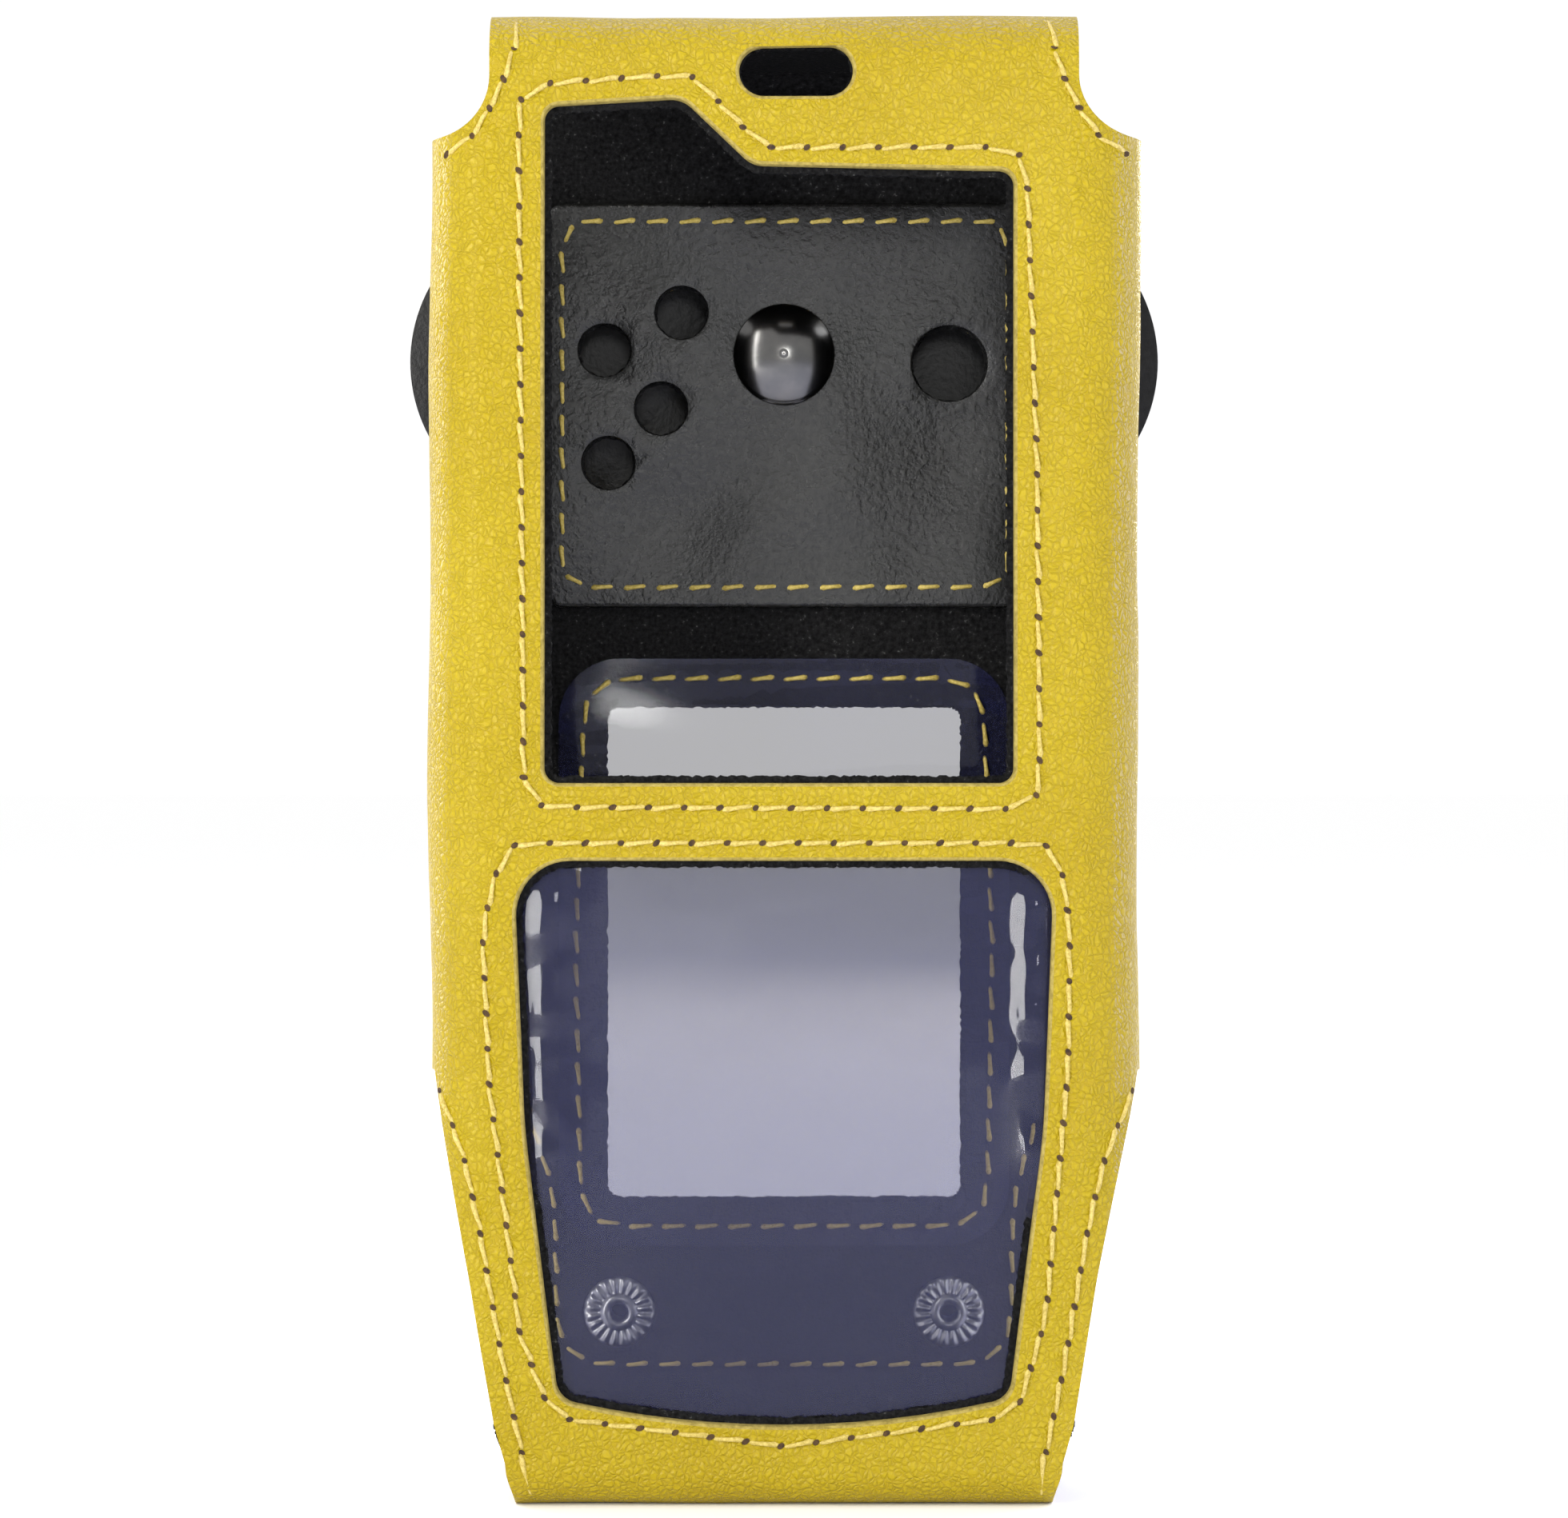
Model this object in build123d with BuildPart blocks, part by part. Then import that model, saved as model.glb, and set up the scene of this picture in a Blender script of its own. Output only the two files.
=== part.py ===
"""Leather carry case for a two way radio: stitched shell, windows, press-stud flap and quick-release belt clip.

Millimetres. +X is the right side seen from the front, +Y runs to the back, +Z is up, and z = 0 is the underside.
"""

import os

from build123d import *

os.makedirs("parts", exist_ok=True)

# Leather shell
half_width = 36.0
corner_radius = 7.0
leather = 1.3
lining = 0.5
wall = leather + lining
front_y = -27.0
back_y = 5.0
seam_y = back_y + 4.5
case_height = 150.0
fold_radius = 5.0
strap_half = 29.5
shoulder_z = 137.6
notch_radius = 5.9
side_wall_z = 43.6
lining_reveal = 0.5
strap_end_z = 130.0

# Bottom strap and closing flap
bend_radius = 4.0
shell_bottom_z = bend_radius + 0.5
flap_y = 9.2
flap_top_z = 24.8
flap_half = 26.6
flap_corner = 4.5
bottom_half = 27.0
strap_rear_y = flap_y - bend_radius - 0.6

# Back panel
back_inner_y = back_y - wall
panel_bottom_z = 7.6
panel_top_z = 144.8
panel_low_half = 26.4
panel_waist_z = 33.0
panel_corner = 6.0

# Windows
back_window = (39.0, 53.6)
back_window_z = 54.4
window_corner = 2.0
film = 0.4
back_film_margin = 4.5
film_half = 28.8
ear_slot = (11.4, 5.0)
ear_slot_at = (1.2, 143.9)

# Clip reinforcement and its holes, as (x, z)
patch = (51.0, 43.0)
patch_z = 112.65
patch_thickness = 1.6
small_hole_radius = 2.85
small_holes = ((-10.9, 122.5), (-19.1, 118.5), (-13.1, 112.3), (-18.7, 106.5))
large_hole_radius = 4.05
large_hole = (17.6, 117.1)

# Knob and rivet that carry the clip
knob_z = 118.0
shank_radius = 2.0
rivet_radius = 5.4
rivet_dome = 2.0
knob_base_radius = 9.0
knob_neck_radius = 4.5
knob_head_radius = 7.3
knob_neck_y = 9.7
knob_head_y = 14.4
knob_end_y = 16.4
shank_end_y = 8.9

# Press studs
stud_x = 17.6
stud_z = 16.0
stud_tube_radius = 1.3
stud_bore_radius = 0.9
stud_end_y = back_y + 1.9
eyelet_radius = 3.8
eyelet_height = 0.8
eyelet_flutes = 20
cap_radius = 4.7
cap_post_radius = 1.5
socket_radius = 4.3
socket_bore_radius = 3.2
socket_y = 5.85
socket_seat_y = 7.1

# Belt clip
clip_z = 118.4
plate = (64.5, 49.6)
plate_corner = 8.0
plate_inner_y = 17.0
plate_outer_y = 19.0
rim_y = 19.7
rim_width = 2.4
rim_round = 1.8
skirt = 1.6
skirt_y = 10.6
base_y = 10.0
base_top_y = 12.0
base_gap = 0.15
post_at = (21.6, 14.4)
post_radius = 2.6
post_hole_radius = 3.2
post_end_y = 18.7
button_gate = 13.9
base_cut_x = 27.2

# Release buttons
button_travel = 3.0
pad_reach = 40.5
pad_half = 13.2
pad_y = (10.4, 16.7)
pad_inner_x = 30.5
pad_shoulder_x = 34.2
pocket_depth = 4.6
block_x = 29.2
jaw_radius = 7.7
jaw_width = 2.8
slide_half = 10.6
slide_thickness = 1.0
slide_y = {"left": 12.15, "right": 13.25}
spring_window_x = 13.3
spring_window_half = 2.3
rib_x = 13.6
rib = 1.2
rail_gap = 0.3
rail_half = 17.0
rib_half = 2.0
rib_top_y = 16.4
spring_y = 14.3
spring_radius = 1.5
spring_wire = 0.25
spring_pitch = 2.3

# Belt tongue
tongue_inner_y = 24.2
tongue_outer_y = 27.0
tongue_top_half = 14.9
tongue_half = 10.1
tongue_taper = (20.3, 2.6)
tongue_flare_half = 22.0
tongue_end_z = 84.4
lip_z = 89.4
tongue_root_y = rim_y + 0.3
tongue_root = 4.0


def face_plane(y):
    """An XZ plane at that y, whose extrusions run towards the front."""
    return Plane.XZ.offset(-y)


def outline(*corners):
    """A flat shape with straight sides, from (x, z, corner radius) points."""
    with BuildSketch() as shape:
        with BuildLine():
            points = [(x, z) for x, z, _ in corners]
            FilletPolyline(*points, radius=[radius for *_, radius in corners], close=True)
        make_face()
    return shape.sketch


def mirrored(*corners):
    """The right-hand corners from top to bottom, and their mirror images."""
    return outline(*corners, *((-x, z, radius) for x, z, radius in reversed(corners)))


def slab(shape, y_low, y_high, mode=Mode.ADD):
    """Adds a flat shape to the part at hand from y_low to y_high, or cuts or keeps what lies inside it."""
    with BuildSketch(face_plane(y_high)) as section:
        add(shape)
    extrude(section.sketch, amount=y_high - y_low, mode=mode)


def turn(x, z, *points):
    """Adds a body turned about the line along Y through (x, z), from (y, radius) points."""
    with BuildSketch(Plane(origin=(x, 0, z), x_dir=(0, 1, 0), z_dir=(1, 0, 0))) as section:
        with BuildLine():
            Polyline(*points, close=True)
        make_face()
    revolve(section.sketch, axis=Axis((x, 0, z), (0, 1, 0)))


def with_notches(shape):
    """Takes the rounded notches beside the top strap out of a flat shape."""
    reach = 2 * notch_radius + 1
    with BuildSketch() as result:
        add(shape)
        for sign in (-1, 1):
            with Locations((sign * (strap_half + reach / 2), shoulder_z + reach)):
                RectangleRounded(reach, 2 * reach, notch_radius, mode=Mode.SUBTRACT)
    return result.sketch


def grown(shape, amount):
    """A flat shape with its edge moved out by that amount."""
    if not amount:
        return shape
    with BuildSketch() as result:
        offset(shape, amount=amount, mode=Mode.ADD)
    return result.sketch


front_outline = with_notches(
    mirrored(
        (half_width + 1, case_height + 1, 0), (half_width + 1, side_wall_z, 0), (35.6, side_wall_z, 0),
        (31.4, 22.8, 40.0), (29.0, 8.4, 10.0), (27.9, shell_bottom_z, 0),
    )
)
panel_outline = with_notches(
    mirrored(
        (half_width, panel_top_z, 0), (half_width, side_wall_z, 3.0), (panel_low_half, panel_waist_z, 7.0),
        (panel_low_half, panel_bottom_z, panel_corner),
    )
)
lower_cut = mirrored((half_width + 1, side_wall_z, 0), (half_width + 1, 0, 0))
upper_window = outline(
    (-24.0, 72.6, 1.5), (23.0, 72.6, 1.5), (23.0, 133.9, 1.5), (-3.2, 134.5, 3.0), (-10.2, 141.2, 3.0),
    (-24.0, 140.4, 1.5),
)

with BuildSketch() as keypad_window:
    with BuildLine():
        sides = FilletPolyline(
            (-22.6, 10.9), (-23.4, 17.0), (-26.0, 38.0), (-27.1, 64.8),
            (27.1, 64.8), (26.0, 38.0), (23.4, 17.0), (22.6, 10.9),
            radius=[30.0, 60.0, 5.5, 5.5, 60.0, 30.0],
        )
        ThreePointArc(sides @ 0, (0, 8.2), sides @ 1)
    make_face()
    fillet(vertices().group_by(Axis.Y)[0], 2.5)
lower_window = keypad_window.sketch

with BuildSketch() as rear_opening:
    with Locations((0, back_window_z)):
        RectangleRounded(*back_window, window_corner)
rear_window = rear_opening.sketch

with BuildSketch() as ear_opening:
    with Locations(ear_slot_at):
        SlotOverall(*ear_slot)
ear_window = ear_opening.sketch

with BuildSketch() as panel_holes:
    with Locations(*small_holes):
        Circle(small_hole_radius)
    with Locations(large_hole):
        Circle(large_hole_radius)
    with Locations((0, knob_z)):
        Circle(shank_radius)
    with Locations((-stud_x, stud_z), (stud_x, stud_z)):
        Circle(stud_tube_radius)

with BuildSketch() as cap_holes:
    with Locations((-stud_x, stud_z), (stud_x, stud_z)):
        Circle(cap_post_radius)


def bent_section(plane, sides, radius, inset, thickness, *walls):
    """The section of a layer that runs round a box, on the named walls, with rounded corners between them."""
    with BuildSketch(plane) as section:
        for depth, mode in ((inset, Mode.ADD), (inset + thickness, Mode.SUBTRACT)):
            spare = 0 if mode is Mode.ADD else 1
            left, right, low, high = (
                side + (inward * depth if wall in walls else -inward * spare)
                for wall, side, inward in zip(("left", "right", "low", "high"), sides, (1, -1, 1, -1))
            )
            corners = (
                (left, low, "left" in walls and "low" in walls), (right, low, "right" in walls and "low" in walls),
                (right, high, "right" in walls and "high" in walls),
                (left, high, "left" in walls and "high" in walls),
            )
            add(outline(*((x, z, (radius - depth) * bent) for x, z, bent in corners)), mode=mode)
    return section.sketch


def front_layer(inset, thickness, grow):
    """One layer of the front: front and side walls in one piece, and the strap that runs over the top."""
    with BuildPart() as layer:
        body_sides = (-half_width, half_width, front_y, seam_y)
        body = bent_section(
            Plane.XY, body_sides, corner_radius, inset, thickness, "left", "right", "low"
        )
        extrude(body, amount=case_height - fold_radius)
        slab(front_outline, front_y - 1, seam_y + 1, Mode.INTERSECT)
        slab(lower_cut, front_y + corner_radius, seam_y + 1, Mode.SUBTRACT)
        strap_sides = (front_y, back_y + wall, strap_end_z, case_height)
        strap = bent_section(
            Plane.YZ, strap_sides, fold_radius, inset, thickness, "left", "right", "high"
        )
        extrude(strap, amount=strap_half, both=True)
        for opening, spread in ((upper_window, grow), (lower_window, grow), (ear_window, 0)):
            slab(grown(opening, spread), front_y - 1, front_y + 2 * wall, Mode.SUBTRACT)
    return layer


def back_layer(side, near_y, radius, thickness, grow):
    """One layer of the back panel, whose edges turn out to meet the side walls in a standing seam."""
    with BuildPart() as layer:
        sides = (-side, side, near_y, seam_y)
        extrude(
            bent_section(Plane.XY, sides, radius, 0, thickness, "left", "right", "low"),
            amount=case_height,
        )
        slab(panel_outline, near_y - 1, seam_y + 1, Mode.INTERSECT)
        slab(grown(rear_window, grow), near_y - 1, back_y, Mode.SUBTRACT)
        slab(panel_holes.sketch, near_y - 1, back_y, Mode.SUBTRACT)
    return layer


def strap_layer(inset, thickness):
    """One layer of the strap under the case, which bends up to meet the front."""
    with BuildPart() as layer:
        sides = (front_y, strap_rear_y, 0, bend_radius + 0.05)
        extrude(
            bent_section(Plane.YZ, sides, bend_radius, inset, thickness, "left", "low"),
            amount=bottom_half, both=True,
        )
    return layer


def flap_layer(inset, thickness):
    """One layer of the closing flap, which bends up from the underside to lie behind the back panel."""
    with BuildPart() as layer:
        sides = (flap_y - bend_radius - 0.1, flap_y, 0, flap_top_z)
        extrude(
            bent_section(Plane.YZ, sides, bend_radius, inset, thickness, "right", "low"),
            amount=flap_half, both=True,
        )
        tab = mirrored((flap_half, flap_top_z, flap_corner), (flap_half, -1, 0))
        slab(tab, 0, flap_y, Mode.INTERSECT)
        slab(cap_holes.sketch, flap_y - 2 * wall, flap_y, Mode.SUBTRACT)
    return layer


finished = {}

with BuildPart() as keypad_film:
    with BuildSketch() as film_outline:
        add(grown(lower_window, 3.0))
        with Locations((0, 40.0)):
            Rectangle(2 * film_half, 100.0, mode=Mode.INTERSECT)
    slab(film_outline.sketch, front_y + wall, front_y + wall + film)

with BuildPart() as back_window_film:
    slab(grown(rear_window, back_film_margin), back_inner_y - film, back_inner_y)

with BuildPart() as clip_reinforcement:
    with BuildSketch(face_plane(back_inner_y)):
        with Locations((0, patch_z)):
            RectangleRounded(*patch, 2.0)
    extrude(amount=patch_thickness)
    fillet(faces().sort_by(Axis.Y)[0].edges(), 0.5)
    slab(panel_holes.sketch, back_inner_y - 2 * patch_thickness, back_inner_y, Mode.SUBTRACT)

with BuildPart() as knob_rivet:
    rivet_y = back_inner_y - patch_thickness
    with BuildSketch(Plane(origin=(0, 0, knob_z), x_dir=(0, 1, 0), z_dir=(1, 0, 0))):
        with BuildLine():
            shank = Polyline(
                (rivet_y - rivet_dome, 0), (shank_end_y, 0), (shank_end_y, shank_radius),
                (rivet_y, shank_radius), (rivet_y, rivet_radius), (rivet_y - 0.4, rivet_radius),
            )
            TangentArc(shank @ 0, shank @ 1, tangent=(0, 1))
        make_face()
    revolve(axis=Axis((0, 0, knob_z), (0, 1, 0)))

with BuildPart() as clip_knob:
    turn(
        0, knob_z,
        (back_y, shank_radius), (back_y, knob_base_radius), (knob_neck_y, knob_base_radius),
        (knob_neck_y, knob_neck_radius), (knob_head_y, knob_neck_radius), (knob_head_y, knob_head_radius),
        (knob_end_y - 0.6, knob_head_radius), (knob_end_y, knob_head_radius - 0.6), (knob_end_y, 0),
        (shank_end_y, 0), (shank_end_y, shank_radius),
    )


def snap_cap(x):
    """The cap that shows on the flap, with its post through the leather."""
    with BuildPart() as cap:
        turn(
            x, stud_z,
            (socket_seat_y, 0), (socket_seat_y, cap_post_radius), (flap_y, cap_post_radius),
            (flap_y, cap_radius), (flap_y + 1.5, cap_radius), (flap_y + 2.0, cap_radius - 0.35),
            (flap_y + 2.3, cap_radius - 1.0), (flap_y + 2.4, 0),
        )
    return cap


def snap_socket(x):
    """The socket clinched on the cap's post, inside the flap."""
    with BuildPart() as socket:
        turn(
            x, stud_z,
            (socket_y, socket_bore_radius), (socket_y, socket_radius - 0.3), (socket_y + 0.3, socket_radius),
            (flap_y - wall, socket_radius), (flap_y - wall, cap_post_radius),
            (socket_seat_y, cap_post_radius), (socket_seat_y, socket_bore_radius),
        )
    return socket


def snap_stud(x):
    """The stud on the back panel's outer face, which enters the socket."""
    with BuildPart() as stud:
        turn(
            x, stud_z,
            (back_y, stud_tube_radius), (back_y, 3.6), (back_y + 0.35, 3.6), (back_y + 0.6, 3.3),
            (back_y + 0.6, 1.75), (back_y + 1.0, 1.75), (back_y + 1.35, 1.9), (back_y + 1.7, 1.9),
            (stud_end_y, 1.7), (stud_end_y, stud_tube_radius),
        )
    return stud


def stud_eyelet(x):
    """The fluted eyelet inside the case, whose tube holds the stud."""
    rim_low_y = back_inner_y - eyelet_height
    with BuildPart() as eyelet:
        turn(
            x, stud_z,
            (rim_low_y, stud_bore_radius), (rim_low_y, eyelet_radius - 0.4), (rim_low_y + 0.3, eyelet_radius),
            (back_inner_y, eyelet_radius), (back_inner_y, stud_tube_radius),
            (stud_end_y - 0.1, stud_tube_radius), (stud_end_y - 0.1, stud_bore_radius),
        )
        with BuildSketch(face_plane(rim_low_y + 0.25)):
            with Locations((x, stud_z)), PolarLocations(2.5, eyelet_flutes):
                SlotOverall(1.6, 0.3)
        extrude(amount=1.0, mode=Mode.SUBTRACT)
    return eyelet


for side_name, side_x in (("left", -stud_x), ("right", stud_x)):
    finished[f"snap_cap_{side_name}"] = snap_cap(side_x)
    finished[f"snap_socket_{side_name}"] = snap_socket(side_x)
    finished[f"snap_stud_{side_name}"] = snap_stud(side_x)
    finished[f"stud_eyelet_{side_name}"] = stud_eyelet(side_x)

with BuildPart() as clip_base:
    with BuildSketch(face_plane(base_top_y)):
        with Locations((0, clip_z)):
            margin = 2 * (skirt + base_gap)
            RectangleRounded(plate[0] - margin, plate[1] - margin, plate_corner - skirt)
        with Locations((0, knob_z)):
            Circle(knob_head_radius + 0.5, mode=Mode.SUBTRACT)
        with Locations((-base_cut_x - 10, knob_z), (base_cut_x + 10, knob_z)):
            Rectangle(20, 2 * button_gate, mode=Mode.SUBTRACT)
    extrude(amount=base_top_y - base_y)
    with BuildSketch(face_plane(post_end_y)):
        with Locations((0, clip_z)), GridLocations(2 * post_at[0], 2 * post_at[1], 2, 2):
            Circle(post_radius)
    extrude(amount=post_end_y - base_top_y)
    fillet(faces().group_by(Axis.Y)[-1].edges(), 0.5)
    with BuildSketch(face_plane(rib_top_y)):
        with Locations((-rib_x - rib / 2, knob_z), (rib_x + rib / 2, knob_z)):
            Rectangle(rib, 2 * rib_half)
    extrude(amount=rib_top_y - base_top_y)
    with BuildSketch(face_plane(knob_head_y)):
        rail_z = slide_half + rail_gap + rib / 2
        with Locations((0, knob_z + rail_z), (0, knob_z - rail_z)):
            Rectangle(2 * rail_half, rib)
    extrude(amount=knob_head_y - base_top_y)

with BuildPart() as clip_plate:
    with BuildSketch(face_plane(rim_y)):
        with Locations((0, clip_z)):
            RectangleRounded(*plate, plate_corner)
    extrude(amount=rim_y - skirt_y)
    fillet(faces().sort_by(Axis.Y)[-1].edges(), rim_round)
    for margin, y_low, y_high in ((skirt, skirt_y, plate_inner_y), (rim_width, plate_outer_y, rim_y)):
        with BuildSketch(face_plane(y_high)):
            with Locations((0, clip_z)):
                RectangleRounded(plate[0] - 2 * margin, plate[1] - 2 * margin, plate_corner - margin)
        extrude(amount=y_high - y_low, mode=Mode.SUBTRACT)
    with BuildSketch(face_plane(plate_inner_y)):
        with Locations((-plate[0] / 2, knob_z), (plate[0] / 2, knob_z)):
            Rectangle(10, 2 * button_gate)
    extrude(amount=plate_inner_y - skirt_y, mode=Mode.SUBTRACT)
    with BuildSketch(face_plane(rim_y)):
        with Locations((0, clip_z)), GridLocations(2 * post_at[0], 2 * post_at[1], 2, 2):
            Circle(post_hole_radius)
    extrude(amount=rim_y - plate_inner_y, mode=Mode.SUBTRACT)
    slot_edge = ((17.3, 9.4), (19.8, 5.0), (18.6, 2.6))
    slab(mirrored(*((x, clip_z + z, 0.8) for x, z in slot_edge)), plate_inner_y, rim_y, Mode.SUBTRACT)

with BuildPart() as clip_tongue:
    tongue_top_z = clip_z + plate[1] / 2
    root_z = tongue_top_z - tongue_root
    section = outline(
        (tongue_root_y, root_z, 0.6), (tongue_root_y, tongue_top_z, 2.6), (tongue_outer_y, tongue_top_z, 2.6),
        (tongue_outer_y, lip_z, 1.5), (23.4, tongue_end_z, 0.8), (20.6, tongue_end_z + 1.4, 0.6),
        (tongue_inner_y, lip_z + 1.2, 1.5), (tongue_inner_y, root_z, 0.8),
    )
    with BuildSketch(Plane.YZ) as side_view:
        add(section)
    extrude(side_view.sketch, amount=tongue_flare_half, both=True)
    slab(
        mirrored(
            (tongue_flare_half, tongue_top_z, 0), (tongue_top_half, clip_z + tongue_taper[0], 3.0),
            (tongue_half, clip_z + tongue_taper[1], 8.0), (tongue_half, tongue_end_z, 2.4),
        ),
        tongue_root_y, tongue_outer_y, Mode.INTERSECT,
    )


def release_button(sign, plane_y):
    """A squeeze button: a finger pad, and a slide whose far end holds the knob's neck until it is pushed."""
    with BuildPart() as button:
        slide_end = jaw_radius + jaw_width - button_travel
        with BuildSketch(face_plane(plane_y + slide_thickness)):
            with Locations((sign * (pad_inner_x - slide_end) / 2, knob_z)):
                Rectangle(pad_inner_x + slide_end, 2 * slide_half)
            with Locations((sign * button_travel, knob_z)):
                Circle(jaw_radius, mode=Mode.SUBTRACT)
            with Locations((sign * (block_x + spring_window_x) / 2, knob_z)):
                Rectangle(block_x - spring_window_x, 2 * spring_window_half, mode=Mode.SUBTRACT)
        extrude(amount=slide_thickness)
        with BuildSketch(face_plane(pad_y[1])):
            with Locations((sign * (block_x + pad_inner_x + 1) / 2, knob_z)):
                Rectangle(pad_inner_x + 1 - block_x, 2 * slide_half)
        extrude(amount=pad_y[1] - slide_y["left"])
        with BuildSketch(face_plane(pad_y[1])):
            with BuildLine():
                side_x = sign * pad_shoulder_x
                bow = ThreePointArc(
                    (side_x, knob_z - pad_half), (sign * pad_reach, knob_z), (side_x, knob_z + pad_half)
                )
                inner = sign * pad_inner_x
                Polyline(bow @ 1, (inner, knob_z + pad_half), (inner, knob_z - pad_half), bow @ 0)
            make_face()
        extrude(amount=pad_y[1] - pad_y[0])
        fillet(edges().filter_by(Axis.Y).sort_by(Axis.X)[-2:] if sign > 0 else
               edges().filter_by(Axis.Y).sort_by(Axis.X)[:2], 2.0)
        with BuildSketch(face_plane(pad_y[1])):
            with Locations((sign * (pad_inner_x + 4.0), knob_z)):
                RectangleRounded(5.8, 8.6, 0.9)
            with Locations(*((sign * (pad_inner_x + 2.9), knob_z + offset_z) for offset_z in (-8.6, 8.6))):
                RectangleRounded(3.6, 6.0, 0.7)
        extrude(amount=pocket_depth, mode=Mode.SUBTRACT)
    return button


def release_spring(sign):
    """A light coil between the clip base's rib and the button."""
    start_x = rib_x + rib + spring_wire
    wire_path = Helix(
        pitch=spring_pitch, height=block_x - start_x - spring_wire, radius=spring_radius,
        center=(sign * start_x, spring_y, knob_z), direction=(sign, 0, 0),
    )
    with BuildPart() as coil:
        with BuildLine():
            add(wire_path)
        with BuildSketch(Plane(origin=wire_path @ 0, z_dir=wire_path % 0)):
            Circle(spring_wire)
        sweep()
    return coil


finished |= {
    "front_shell": front_layer(0, leather, 0),
    "front_lining": front_layer(leather, lining, -lining_reveal),
    "back_panel": back_layer(half_width - wall - lining, back_y - leather, 2.5, leather, 0),
    "back_lining": back_layer(half_width - wall, back_inner_y, 3.0, lining, -lining_reveal),
    "keypad_film": keypad_film,
    "back_window_film": back_window_film,
    "clip_reinforcement": clip_reinforcement,
    "knob_rivet": knob_rivet,
    "clip_knob": clip_knob,
    "bottom_strap": strap_layer(0, leather),
    "bottom_strap_lining": strap_layer(leather, lining),
    "closing_flap": flap_layer(0, leather),
    "closing_flap_lining": flap_layer(leather, lining),
    "clip_base": clip_base,
    "clip_plate": clip_plate,
    "clip_tongue": clip_tongue,
    "release_button_left": release_button(-1, slide_y["left"]),
    "release_button_right": release_button(1, slide_y["right"]),
    "release_spring_left": release_spring(-1),
    "release_spring_right": release_spring(1),
}

for name, piece in finished.items():
    piece.part.label = name
    export_step(piece.part, f"parts/{name}.step")
    print(f"{name}: {piece.part.volume / 1000:.2f} cm3")
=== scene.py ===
import math
import random

import bmesh
import bpy
from mathutils import Matrix, Vector, noise


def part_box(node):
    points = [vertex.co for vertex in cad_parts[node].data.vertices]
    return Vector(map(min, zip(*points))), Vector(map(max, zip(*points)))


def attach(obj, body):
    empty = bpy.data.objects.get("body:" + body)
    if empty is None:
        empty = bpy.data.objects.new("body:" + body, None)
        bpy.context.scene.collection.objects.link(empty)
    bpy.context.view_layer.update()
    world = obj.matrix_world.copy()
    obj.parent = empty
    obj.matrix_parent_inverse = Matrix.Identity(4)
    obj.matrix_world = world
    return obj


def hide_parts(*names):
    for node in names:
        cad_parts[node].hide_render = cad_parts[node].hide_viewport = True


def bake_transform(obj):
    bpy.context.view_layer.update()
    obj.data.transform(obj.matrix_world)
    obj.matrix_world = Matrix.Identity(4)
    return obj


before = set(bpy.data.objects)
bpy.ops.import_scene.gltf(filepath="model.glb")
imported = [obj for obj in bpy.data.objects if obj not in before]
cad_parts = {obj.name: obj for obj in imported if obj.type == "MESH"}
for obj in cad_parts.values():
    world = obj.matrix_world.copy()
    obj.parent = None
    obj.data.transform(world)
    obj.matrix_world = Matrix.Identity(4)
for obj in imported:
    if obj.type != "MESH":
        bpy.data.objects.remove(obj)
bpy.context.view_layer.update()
mm = 0.001
random.seed(7)
print("frame loaded:", len(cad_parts), "CAD nodes")


def newMaterial(name, **sockets):
    made = bpy.data.materials.new(name)
    made.use_nodes = True
    shader = made.node_tree.nodes["Principled BSDF"]
    for socket, value in sockets.items():
        shader.inputs[socket.replace("_", " ")].default_value = value
    return made, made.node_tree, shader


def addNode(tree, kind, links=None, **settings):
    node = tree.nodes.new("ShaderNode" + kind)
    for key, value in settings.items():
        if hasattr(node, key):
            setattr(node, key, value)
        else:
            node.inputs[key.replace("_", " ")].default_value = value
    for socket, source in (links or {}).items():
        tree.links.new(source, node.inputs[socket])
    return node


def restPlace(tree):
    # a leather piece keeps its own rest position, so the grain bends with it
    return addNode(tree, "Attribute", attribute_name="restPlace").outputs["Vector"]


def objectPlace(tree):
    return addNode(tree, "TexCoord").outputs["Object"]


def colourRamp(tree, factor, stops):
    ramp = addNode(tree, "ValToRGB", {"Fac": factor})
    elements = ramp.color_ramp.elements
    while len(elements) < len(stops):
        elements.new(0.5)
    for element, (position, colour) in zip(elements, stops):
        element.position = position
        element.color = (*colour, 1)
    return ramp.outputs["Color"]


def noiseOf(tree, place, scale, detail, roughness=0.5, output="Fac"):
    noisy = addNode(tree, "TexNoise", {"Vector": place}, Scale=scale, Detail=detail, Roughness=roughness)
    return noisy.outputs[output]


def setRoughness(tree, shader, factor, low, high):
    spread = addNode(tree, "MapRange", {"Value": factor}, To_Min=low, To_Max=high)
    tree.links.new(spread.outputs["Result"], shader.inputs["Roughness"])


def addBump(tree, shader, layers):
    # layers are (height socket, depth in metres, strength), coarse ones first
    normal = None
    for height, distance, strength in layers:
        links = {"Height": height}
        if normal:
            links["Normal"] = normal
        normal = addNode(tree, "Bump", links, Distance=distance, Strength=strength).outputs["Normal"]
    tree.links.new(normal, shader.inputs["Normal"])


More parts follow.
